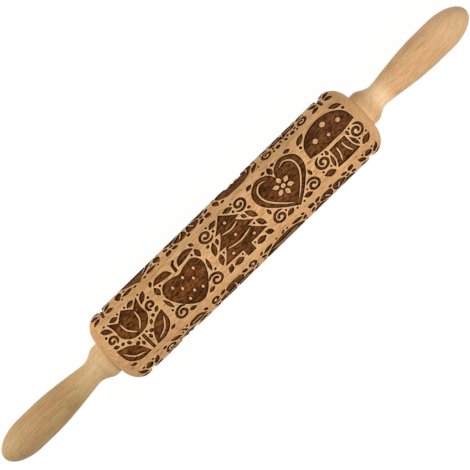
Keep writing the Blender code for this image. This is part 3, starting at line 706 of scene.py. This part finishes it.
def engraved_barrel_mesh():
    """The barrel's skin with its pockets sunk, bent round the axis and closed by bearing seats and bore."""
    seam = math.pi / MOTIF_ROWS
    pockets, islands = pattern_outlines(seam)
    verts, triangles, in_pocket = imprinted_sheet(seam, pockets, islands)
    gaps = distance_to_outlines(verts, pockets + islands, CHAR_AND_SHADE_REACH)

    shape = bmesh.new()
    char_and_shade = shape.verts.layers.float.new("char_and_shade")
    engraved = shape.loops.layers.float.new("engraved")
    flat = [shape.verts.new((place, along, 0)) for place, along in verts]
    # Each vertex's nearness to an outline: partly deeper char and partly painted shade on the burnt floor
    # beside the walls, and the pale rim on the land
    for vert, gap in zip(flat, gaps):
        vert[char_and_shade] = 1 - gap / CHAR_AND_SHADE_REACH
    sunk = []
    for triangle, pocket in zip(triangles, in_pocket):
        face = shape.faces.new([flat[i] for i in triangle])
        if pocket:
            sunk.append(face)
    land = set(shape.faces) - set(sunk)
    sunk_edges = list(dict.fromkeys(edge for face in sunk for edge in face.edges))
    made = bmesh.ops.extrude_face_region(shape, geom=sunk + sunk_edges)["geom"]
    feet = [item for item in made if isinstance(item, bmesh.types.BMVert)]
    bmesh.ops.translate(shape, vec=(0, 0, -ENGRAVING_DEPTH), verts=feet)
    lean_inwards(shape, [item for item in made if isinstance(item, bmesh.types.BMFace)])
    for face in shape.faces:
        if face not in land:
            for loop in face.loops:
                loop[engraved] = 1
    for vert in shape.verts:
        place, along, rise = vert.co
        angle, radius = along / BARREL_RADIUS, skin_radius(place) + rise
        vert.co = (place, radius * math.sin(angle), AXIS_HEIGHT + radius * math.cos(angle))
    line_the_bore(shape, seam)
    bmesh.ops.remove_doubles(shape, verts=shape.verts, dist=WELD)
    bmesh.ops.recalc_face_normals(shape, faces=shape.faces)
    mesh = bpy.data.meshes.new("engraved_barrel")
    shape.to_mesh(mesh)
    shape.free()
    mesh.shade_smooth()
    mesh.set_sharp_from_angle(angle=BARREL_SHARP_ANGLE)
    return mesh


def line_the_bore(shape, seam):
    """Spins the end faces, the bearing seats and the bore, from one row of points under the skin's seam."""
    face = BARREL_LENGTH / 2
    seat = face - COUNTERBORE_DEPTH
    half = [(seat, BORE_RADIUS), (seat, COUNTERBORE_RADIUS)]
    half += [(face, COUNTERBORE_RADIUS), (face, BARREL_END_RADIUS)]
    profile = [(-place, radius) for place, radius in reversed(half)] + half
    outwards = Vector((0, math.sin(seam), math.cos(seam)))
    centre = Vector((0, 0, AXIS_HEIGHT))
    verts = [shape.verts.new(centre + Vector((place, 0, 0)) + radius * outwards) for place, radius in profile]
    edges = [shape.edges.new(ends) for ends in zip(verts, verts[1:])]
    bmesh.ops.spin(
        shape, geom=verts + edges, cent=centre, axis=(1, 0, 0), angle=math.tau, steps=BARREL_SIDES,
        use_merge=True,
    )


def handle_profile():
    """A handle from its collar's face, at place 0, to its nose: collar, cove, neck, swell and round end."""
    points = []
    for i in range(EDGE_STEPS + 1):
        angle = QUARTER_TURN * i / EDGE_STEPS
        place = COLLAR_EDGE * (1 - math.cos(angle))
        points.append((place, COLLAR_RADIUS - COLLAR_EDGE * (1 - math.sin(angle))))
    for i in range(COVE_STEPS):
        t = i / COVE_STEPS
        height = (0.5 + 0.5 * math.cos(math.pi * t)) ** COVE_POWER
        place = COLLAR_LENGTH + (NECK_PLACE - COLLAR_LENGTH) * t
        points.append((place, NECK_RADIUS + (COLLAR_RADIUS - NECK_RADIUS) * height))
    for i in range(SWELL_STEPS):
        t = i / SWELL_STEPS
        height = math.sin(QUARTER_TURN * t) ** SWELL_POWER
        place = NECK_PLACE + (BELLY_PLACE - NECK_PLACE) * t
        points.append((place, NECK_RADIUS + (BELLY_RADIUS - NECK_RADIUS) * height))
    points.append((BELLY_PLACE, BELLY_RADIUS))
    nose = HANDLE_LENGTH - NOSE_LENGTH
    for i in range(NOSE_STEPS + 1):
        angle = QUARTER_TURN * i / NOSE_STEPS
        points.append((nose + NOSE_LENGTH * math.sin(angle), BELLY_RADIUS * math.cos(angle)))
    return points


def handle_template(side):
    """A handle's whole half outline in the pin's frame, from the bottom of its insert's hole to its nose."""
    inside = [
        (INSERT_HOLE_DEPTH, 0),
        (INSERT_HOLE_DEPTH, INSERT_HOLE_RADIUS),
        (FLANGE_HOLE_DEPTH, INSERT_HOLE_RADIUS),
        (FLANGE_HOLE_DEPTH, FLANGE_HOLE_RADIUS),
        (0, FLANGE_HOLE_RADIUS),
    ]
    outline = [(place, max(radius, 0)) for place, radius in inside + handle_profile()]
    return [(side * (HANDLE_PLACE + place), radius) for place, radius in outline]


def placed(name, data):
    """A new object in the scene, at the origin."""
    obj = bpy.data.objects.new(name, data)
    bpy.context.scene.collection.objects.link(obj)
    return obj


def add(tree, kind, inputs=None, **settings):
    """A node with its settings, whose inputs, by name or number, take a value or another node's output."""
    node = tree.nodes.new(kind)
    for name, value in settings.items():
        setattr(node, name, value)
    for name, value in (inputs or {}).items():
        if isinstance(value, bpy.types.NodeSocket):
            tree.links.new(value, node.inputs[name])
        else:
            node.inputs[name].default_value = value
    return node


def math_node(tree, operation, *values):
    return add(tree, "ShaderNodeMath", dict(enumerate(values)), operation=operation).outputs[0]


def new_group(name, inputs, outputs, kind="ShaderNodeTree"):
    """An empty node group with named sockets, what it is given and what it puts out."""
    group = bpy.data.node_groups.new(name, kind)
    for socket, (sort, value) in inputs.items():
        made = group.interface.new_socket(socket, in_out="INPUT", socket_type=f"NodeSocket{sort}")
        if value is not None:
            made.default_value = value
    for socket, sort in outputs.items():
        group.interface.new_socket(socket, in_out="OUTPUT", socket_type=f"NodeSocket{sort}")
    return group, group.nodes.new("NodeGroupInput").outputs, group.nodes.new("NodeGroupOutput").inputs


def lathe_tree():
    """Turns a half outline about X: a grid of its points by sides, its rows bent into rings and welded."""
    sockets = {
        "Outline": ("Geometry", None),
        "Sides": ("Int", None),
        "Axis Height": ("Float", None),
        "Weld": ("Float", None),
        "Finish": ("Material", None),
    }
    tree, given, result = new_group("turn_on_the_lathe", sockets, {"Turned": "Geometry"}, "GeometryNodeTree")
    size = add(tree, "GeometryNodeAttributeDomainSize", {"Geometry": given["Outline"]})
    count = size.outputs["Point Count"]
    ring = add(tree, "FunctionNodeIntegerMath", {0: given["Sides"], 1: 1}, operation="ADD").outputs[0]
    grid = add(tree, "GeometryNodeMeshGrid", {"Vertices X": count, "Vertices Y": ring})
    index = tree.nodes.new("GeometryNodeInputIndex").outputs[0]
    row, step = (
        add(tree, "FunctionNodeIntegerMath", {0: index, 1: ring}, operation=operation).outputs[0]
        for operation in ("DIVIDE_FLOOR", "MODULO")
    )
    position = tree.nodes.new("GeometryNodeInputPosition").outputs[0]
    sample = add(
        tree, "GeometryNodeSampleIndex", {"Geometry": given["Outline"], "Value": position, "Index": row},
        data_type="FLOAT_VECTOR",
    )
    outline = add(tree, "ShaderNodeSeparateXYZ", {0: sample.outputs[0]}).outputs
    angle = math_node(tree, "MULTIPLY", math_node(tree, "DIVIDE", step, given["Sides"]), math.tau)
    across = math_node(tree, "MULTIPLY", outline["Z"], math_node(tree, "SINE", angle))
    cosine = math_node(tree, "COSINE", angle)
    up = math_node(tree, "MULTIPLY_ADD", outline["Z"], cosine, given["Axis Height"])
    place = add(tree, "ShaderNodeCombineXYZ", {0: outline["X"], 1: across, 2: up}).outputs[0]
    shape = grid.outputs["Mesh"]
    for kind, inputs in (
        ("GeometryNodeSetPosition", {"Position": place}),
        ("GeometryNodeMergeByDistance", {"Distance": given["Weld"]}),
        ("GeometryNodeRealizeInstances", {}),
        ("GeometryNodeSetMaterial", {"Material": given["Finish"]}),
    ):
        shape = add(tree, kind, {"Geometry": shape, **inputs}).outputs[0]
    tree.links.new(shape, result["Turned"])
    return tree


def outline_mesh(name, outline):
    """A half outline of (place, radius) points as a chain of edges for the lathe."""
    mesh = bpy.data.meshes.new(name)
    edges = [(i, i + 1) for i in range(len(outline) - 1)]
    mesh.from_pydata([(place, 0, radius) for place, radius in outline], edges, [])
    return mesh


def turned(name, lathe, outline, finish):
    """The plain mesh object that the lathe makes from a half outline."""
    piece = placed(name, outline_mesh(name, outline))
    modifier = piece.modifiers.new("shape", "NODES")
    modifier.node_group = lathe
    values = {"Sides": HANDLE_SIDES, "Axis Height": AXIS_HEIGHT, "Weld": WELD, "Finish": finish}
    for socket in lathe.interface.items_tree:
        if socket.name in values:
            modifier[socket.identifier] = values[socket.name]
    evaluated = piece.evaluated_get(bpy.context.evaluated_depsgraph_get())
    mesh = bpy.data.meshes.new_from_object(evaluated)
    piece.modifiers.remove(modifier)
    shape = bmesh.new()
    shape.from_mesh(mesh)
    bmesh.ops.recalc_face_normals(shape, faces=shape.faces)
    shape.to_mesh(mesh)
    shape.free()
    mesh.shade_smooth()
    mesh.set_sharp_from_angle(angle=HANDLE_SHARP_ANGLE)
    piece.data = mesh
    return piece


def stretched_noise(tree, place, grain, detail=2.0, roughness=0.5, seed=0.0):
    """Noise with this many steps a metre along each axis."""
    moved = add(tree, "ShaderNodeMapping", {"Vector": place, "Location": (seed, seed, seed), "Scale": grain})
    inputs = {"Vector": moved.outputs[0], "Scale": 1, "Detail": detail, "Roughness": roughness}
    return add(tree, "ShaderNodeTexNoise", inputs).outputs[0]


def ranged(tree, value, low, high, to_low=0.0, to_high=1.0):
    """A value stretched from one range to another and held inside it."""
    inputs = {"Value": value, "From Min": low, "From Max": high, "To Min": to_low, "To Max": to_high}
    return add(tree, "ShaderNodeMapRange", inputs).outputs[0]


def marks(tree, place, grain, low, high, **noise):
    """A mask of marks: none where their noise is low, full where it is high."""
    return ranged(tree, stretched_noise(tree, place, grain, **noise), low, high)


def mixed(tree, share, first, second):
    return add(tree, "ShaderNodeMix", {0: share, 6: first, 7: second}, data_type="RGBA").outputs[2]


def beech_group():
    """Beech: warm patches, growth rings, long fibre streaks, long pore lines and short dark ray flecks."""
    group, given, result = new_group(
        "beech_figure",
        {
            "Vector": ("Vector", None),
            "Pale": ("Color", srgb(242, 193, 136)),
            "Warm": ("Color", srgb(222, 167, 114)),
            "Ring": ("Color", srgb(196, 147, 92)),
            "Fleck": ("Color", srgb(146, 92, 48)),
            "Ring Share": ("Float", 0.5),
            "Fleck Share": ("Float", 0.9),
            "Line Share": ("Float", 0.55),
            "Fibre Share": ("Float", 0.6),
        },
        {"Colour": "Color", "Height": "Float", "Roughness": "Float"},
    )
    place = given["Vector"]
    shift = math_node(group, "MULTIPLY", stretched_noise(group, place, BEND_GRAIN), RING_BEND)
    bent = add(group, "ShaderNodeVectorMath", {0: place, 1: shift}, operation="ADD").outputs[0]
    rings = add(
        group, "ShaderNodeTexWave",
        {"Vector": bent, "Scale": RING_GRAIN, "Distortion": 1.6, "Detail": 2, "Detail Scale": 1},
        wave_type="RINGS", rings_direction="X", wave_profile="SAW",
    ).outputs[1]
    late_wood = ranged(group, rings, 0.45, 1.0)
    patches = marks(group, place, PATCH_GRAIN, 0.36, 0.64, detail=3, roughness=0.6, seed=3.1)
    fibres = marks(group, place, FIBRE_GRAIN, 0.32, 0.68, detail=4, roughness=0.65, seed=7.7)
    flecks = marks(group, place, FLECK_GRAIN, 0.58, 0.7, detail=1, seed=1.3)
    gathered = marks(group, place, GATHERED_GRAIN, 0.38, 0.6, detail=1, seed=5.9)
    lines = marks(group, bent, PORE_GRAIN, 0.52, 0.66, detail=2, roughness=0.6, seed=9.2)

    colour = mixed(group, patches, given["Pale"], given["Warm"])
    for mask, share, tone in (
        (late_wood, "Ring Share", "Ring"),
        (fibres, "Fibre Share", "Ring"),
        (lines, "Line Share", "Fleck"),
        (math_node(group, "MULTIPLY", flecks, gathered), "Fleck Share", "Fleck"),
    ):
        colour = mixed(group, math_node(group, "MULTIPLY", mask, given[share]), colour, given[tone])
    raised = math_node(group, "MULTIPLY", fibres, 0.5)
    group.links.new(colour, result["Colour"])
    group.links.new(math_node(group, "SUBTRACT", raised, flecks), result["Height"])
    group.links.new(ranged(group, fibres, 0, 1, 0.48, 0.62), result["Roughness"])
    return group


def burnt_group():
    """A pocket's burnt floor: brown, lighter and darker along the grain, and darkest beside its walls, partly
    deeper char and partly painted shade at the foot of the walls.
    """
    group, given, result = new_group(
        "laser_burnt_floor",
        {
            "Vector": ("Vector", None),
            "Floor": ("Color", srgb(97, 49, 13)),
            "Light": ("Color", srgb(136, 80, 38)),
            "Edge": ("Color", srgb(34, 12, 0)),
            "Char And Shade": ("Float", 0),
        },
        {"Colour": "Color", "Height": "Float"},
    )
    place = given["Vector"]
    streaks = stretched_noise(group, place, STREAK_GRAIN, detail=3, roughness=0.6, seed=2.2)
    patches = stretched_noise(group, place, SCORCH_GRAIN, seed=8.4)
    dashes = marks(group, place, DASH_GRAIN, 0.5, 0.64, detail=1, seed=4.7)
    light = math_node(group, "ADD", streaks, math_node(group, "MULTIPLY", patches, 0.6))
    dark_floor = mixed(group, 0.4, given["Floor"], given["Edge"])
    floor = mixed(group, ranged(group, light, 0.65, 0.95), dark_floor, given["Light"])
    floor = mixed(group, math_node(group, "MULTIPLY", dashes, 0.85), floor, given["Edge"])
    # Painted shade and deeper char on the floor beside the walls
    edge_share = math_node(group, "MULTIPLY", math_node(group, "POWER", given["Char And Shade"], 1.6), 0.68)
    group.links.new(mixed(group, edge_share, floor, given["Edge"]), result["Colour"])
    group.links.new(streaks, result["Height"])
    return group


def turning_group():
    """Fine turning lines round the axis and slow patches, for every metal piece."""
    group, given, result = new_group(
        "turning_lines",
        {
            "Vector": ("Vector", None),
            "Low": ("Float", 0.2),
            "High": ("Float", 0.4),
            "Shade": ("Color", grey(0.5)),
            "Bright": ("Color", grey(0.7)),
        },
        {"Colour": "Color", "Roughness": "Float", "Height": "Float"},
    )
    lines = stretched_noise(group, given["Vector"], TURNING_GRAIN)
    patches = stretched_noise(group, given["Vector"], METAL_PATCH_GRAIN, seed=4.2)
    share = math_node(group, "MULTIPLY_ADD", lines, 0.7, math_node(group, "MULTIPLY", patches, 0.3))
    colour = mixed(group, ranged(group, share, 0.3, 0.7), given["Shade"], given["Bright"])
    group.links.new(colour, result["Colour"])
    group.links.new(ranged(group, share, 0.3, 0.7, given["Low"], given["High"]), result["Roughness"])
    group.links.new(lines, result["Height"])
    return group


def new_material(name):
    material = bpy.data.materials.new(name)
    material.use_nodes = True
    tree = material.node_tree
    return material, tree, tree.nodes["Principled BSDF"]


def from_group(tree, group, inputs):
    return add(tree, "ShaderNodeGroup", inputs, node_tree=group).outputs


def object_place(tree):
    return tree.nodes.new("ShaderNodeTexCoord").outputs["Object"]


def place_along(tree):
    return add(tree, "ShaderNodeSeparateXYZ", {0: object_place(tree)}).outputs[0]


def grain_place(tree, cut_from, turn):
    """The object's coordinates, moved to where the piece was cut from its board and turned off the grain."""
    inputs = {"Vector": object_place(tree), "Location": cut_from, "Rotation": turn}
    return add(tree, "ShaderNodeMapping", inputs).outputs[0]


def dress(tree, shader, colour, roughness, height, strength, depth):
    """Gives a shader its colour, its roughness and a bump of this depth."""
    bump = add(tree, "ShaderNodeBump", {"Height": height, "Strength": strength, "Distance": depth}).outputs[0]
    for socket, value in (("Base Color", colour), ("Roughness", roughness), ("Normal", bump)):
        tree.links.new(value, shader.inputs[socket])


def barrel_beech(beech, burnt):
    """Bare wood with paler rims and painted light on its ends, and burnt floors painted lighter and redder to
    the left and darker and greyer to the right, as light and shade.
    """
    material, tree, shader = new_material("engraved_beech")
    place = grain_place(tree, (0.0, 0.034, -0.006), (0, math.radians(0.8), math.radians(1.2)))
    wood = from_group(tree, beech, {"Vector": place})
    char_and_shade, engraved = (
        add(tree, "ShaderNodeAttribute", attribute_name=name).outputs["Fac"] for name in ("char_and_shade", "engraved")
    )
    along = place_along(tree)
    end = BARREL_LENGTH / 2
    # Painted light and shade: the burnt floors lighter and redder to the left, darker and greyer to the right
    from_left = ranged(tree, along, -end, end)
    painted_light_floor_tones = {name: mixed(tree, from_left, *tones) for name, tones in PAINTED_LIGHT_FLOOR_TONES.items()}
    floor = from_group(tree, burnt, {"Vector": place, "Char And Shade": char_and_shade, **painted_light_floor_tones})
    rim_share = math_node(tree, "MULTIPLY", math_node(tree, "POWER", char_and_shade, 1.5), 0.4)
    land = mixed(tree, rim_share, wood["Colour"], RIM_TONE)
    # Painted light on the barrel's ends, more to the right, lifting the shade of the sloping shoulders
    near_end = ranged(tree, math_node(tree, "ABSOLUTE", along), end - END_LIGHT_LENGTH, end)
    end_light_share = math_node(tree, "MULTIPLY", near_end, ranged(tree, along, -end, end, 0.1, 0.8))
    land = mixed(tree, end_light_share, land, PAINTED_END_LIGHT_TONE)
    sunk = math_node(tree, "MULTIPLY", engraved, 4)
    height = math_node(tree, "MULTIPLY_ADD", floor["Height"], sunk, wood["Height"])
    shader.inputs["Specular IOR Level"].default_value = 0.1
    dress(
        tree, shader, mixed(tree, engraved, land, floor["Colour"]), ranged(tree, engraved, 0, 1, 0.55, 0.85),
        height, 0.35, 0.06 * MM,
    )
    return material


def handle_beech(beech, name, tones, cut, cove, painted_joint_light, worn, cut_from, turn):
    """A handle's beech: paler in its cove, partly where the gouge cut it and partly a painted highlight,
    paler where its nose is worn, and with painted light at the joint against the shade of the crease.

    The cove has its middle, the reach of its full tone and its whole reach, as shares of the neck's place,
    and then its share of the cut tone.
    """
    material, tree, shader = new_material(name)
    place = grain_place(tree, cut_from, turn)
    shares = {"Ring Share": 0.45, "Fleck Share": 0.3, "Line Share": 0.4, "Fibre Share": 0.3}
    wood = from_group(tree, beech, {"Vector": place, **tones, **shares})
    along = math_node(tree, "ABSOLUTE", place_along(tree))
    middle, full, reach, share = cove
    # The cove's pale tone is partly the cut across the grain and partly a painted highlight on the slope
    # facing the lamps, stronger on the right handle
    from_cove = math_node(tree, "SUBTRACT", along, HANDLE_PLACE + middle * NECK_PLACE)
    from_cove = math_node(tree, "ABSOLUTE", from_cove)
    cove_cut_and_highlight_share = ranged(tree, from_cove, full * NECK_PLACE, reach * NECK_PLACE, share, 0)
    grained = ranged(tree, wood["Height"], 0.05, 0.45, 1.1, 0.55)
    colour = mixed(tree, math_node(tree, "MULTIPLY", cove_cut_and_highlight_share, grained), wood["Colour"], cut)
    nose_share = ranged(tree, along, HANDLE_PLACE + BELLY_PLACE - WORN_OVERLAP, HANDLE_END, 0, worn)
    colour = mixed(tree, nose_share, colour, cut)
    # Painted light near the joint, lifting the shade that the barrel's shoulder casts on the collar
    near_joint = ranged(tree, along, HANDLE_PLACE, HANDLE_PLACE + JOINT_LIGHT_LENGTH, 1, 0)
    painted_joint_light_share = math_node(tree, "MULTIPLY", math_node(tree, "POWER", near_joint, 1.6), painted_joint_light)
    colour = mixed(tree, painted_joint_light_share, colour, PAINTED_JOINT_LIGHT_TONE)
    shader.inputs["Specular IOR Level"].default_value = 0.3
    dress(tree, shader, colour, wood["Roughness"], wood["Height"], 0.3, 0.05 * MM)
    return material


def metal(turning, name, shade, bright, low, high):
    """Turned or drawn metal, between two tones and two roughnesses."""
    material, tree, shader = new_material(name)
    values = {"Vector": object_place(tree), "Low": low, "High": high, "Shade": shade, "Bright": bright}
    lines = from_group(tree, turning, values)
    shader.inputs["Metallic"].default_value = 1.0
    dress(tree, shader, lines["Colour"], lines["Roughness"], lines["Height"], 0.15, 0.01 * MM)
    return material


def moulded_nylon():
    material, tree, shader = new_material("cage_nylon")
    clouds = stretched_noise(tree, object_place(tree), NYLON_GRAIN, detail=3, roughness=0.6)
    colour = mixed(tree, clouds, srgb(226, 220, 200), srgb(240, 236, 222))
    dress(tree, shader, colour, ranged(tree, clouds, 0.3, 0.7, 0.42, 0.58), clouds, 0.1, 0.02 * MM)
    return material


def make_finishes():
    beech, turning = beech_group(), turning_group()
    finishes = {name: metal(turning, name, *values) for name, values in METALS.items()}
    for name, values in HANDLES.items():
        finishes[name] = handle_beech(beech, f"{name}_beech", **values)
    finishes["beech_barrel"] = barrel_beech(beech, burnt_group())
    finishes["cage_nylon"] = moulded_nylon()
    return finishes


def shown(obj, body, slot, *nodes):
    """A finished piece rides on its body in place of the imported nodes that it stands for."""
    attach(obj, body)
    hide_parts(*nodes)


def build_barrel(finishes):
    mesh = engraved_barrel_mesh()
    mesh.materials.append(finishes["beech_barrel"])
    shown(placed("engraved_barrel", mesh), "barrel", "beech_barrel", "barrel")


def build_handles(finishes):
    lathe = lathe_tree()
    for name, side in (("left_handle", -1), ("right_handle", 1)):
        handle = turned(f"turned_{name}", lathe, handle_template(side), finishes[name])
        shown(handle, "handles_and_axle", "beech_handle", name)


def finish_packed_nodes(finishes):
    """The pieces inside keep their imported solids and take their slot's finish."""
    slots = {entry["node"]: entry["material_slot"] for entry in frame["record"]["subparts"]}
    for name, node in frame["nodes"].items():
        if slots[name] in finishes:
            node.data.materials.clear()
            node.data.materials.append(finishes[slots[name]])


def seen_share(tree):
    """Full for rays from the camera, also by way of a glossy or clear surface, and none for the light's."""
    path = tree.nodes.new("ShaderNodeLightPath").outputs
    share = math_node(tree, "MAXIMUM", path["Is Camera Ray"], path["Is Glossy Ray"])
    return math_node(tree, "MAXIMUM", share, path["Is Transmission Ray"])


def build_floor():
    """A pale floor that gives back light as card does, and is seen nearly white, with a faint shadow."""
    mesh = bpy.data.meshes.new("floor")
    reach = FLOOR_REACH
    corners = [(-reach, -reach, 0), (reach, -reach, 0), (reach, reach, 0), (-reach, reach, 0)]
    mesh.from_pydata(corners, [], [(0, 1, 2, 3)])
    material = bpy.data.materials.new("pale_floor")
    material.use_nodes = True
    tree = material.node_tree
    tree.nodes.clear()
    card = add(tree, "ShaderNodeBsdfDiffuse", {"Color": grey(FLOOR_CARD)}).outputs[0]
    shadowed = add(tree, "ShaderNodeBsdfDiffuse", {"Color": grey(FLOOR_SHADOWED)}).outputs[0]
    white = add(tree, "ShaderNodeEmission", {"Color": grey(1), "Strength": FLOOR_GLOW}).outputs[0]
    seen = add(tree, "ShaderNodeAddShader", {0: shadowed, 1: white}).outputs[0]
    chosen = add(tree, "ShaderNodeMixShader", {0: seen_share(tree), 1: card, 2: seen}).outputs[0]
    add(tree, "ShaderNodeOutputMaterial", {"Surface": chosen})
    mesh.materials.append(material)
    floor = placed("floor", mesh)


def build_world():
    """Even white light from all round, as in a light tent. The camera sees plain white."""
    world = bpy.data.worlds.new("light_tent")
    bpy.context.scene.world = world
    world.use_nodes = True
    tree = world.node_tree
    tree.nodes.clear()
    strength = ranged(tree, seen_share(tree), 0, 1, TENT_LIGHT, 1)
    light = add(tree, "ShaderNodeBackground", {"Color": grey(1), "Strength": strength}).outputs[0]
    add(tree, "ShaderNodeOutputWorld", {"Surface": light})


def on_screen(right, up):
    """A place on the floor, given as the photograph shows it: right of the pin's middle and up from it."""
    cosine, sine = math.cos(PIN_ANGLE), math.sin(PIN_ANGLE)
    return Vector((right * cosine + up * sine, -right * sine + up * cosine, 0))


def build_lamp(name, right, up, height, size, power):
    data = bpy.data.lights.new(name, "AREA")
    data.shape = "SQUARE"
    data.size = size
    data.energy = power
    lamp = placed(name, data)
    lamp.location = on_screen(right, up) + Vector((0, 0, height))
    lamp.rotation_euler = (-lamp.location).to_track_quat("-Z", "Y").to_euler()


def build_camera():
    """Straight above the pin, which runs from the lower left to the upper right of the frame."""
    data = bpy.data.cameras.new("camera")
    data.lens = LENS
    data.sensor_width = SENSOR
    distance = FRAME_WIDTH * LENS / SENSOR
    data.clip_end = CLIP_SHARE * distance
    camera = placed("camera", data)
    camera.location = on_screen(AIM_RIGHT, -AIM_DOWN) + Vector((0, 0, AXIS_HEIGHT + distance))
    axes = (on_screen(1, 0), on_screen(0, 1), Vector((0, 0, 1)))
    camera.rotation_euler = Matrix(axes).transposed().to_euler()
    bpy.context.scene.camera = camera


finishes = make_finishes()
build_barrel(finishes)
build_handles(finishes)
finish_packed_nodes(finishes)
build_floor()
build_world()
for name, values in LAMPS.items():
    build_lamp(name, *values)
build_camera()
bpy.context.scene.view_settings.view_transform = "Standard"
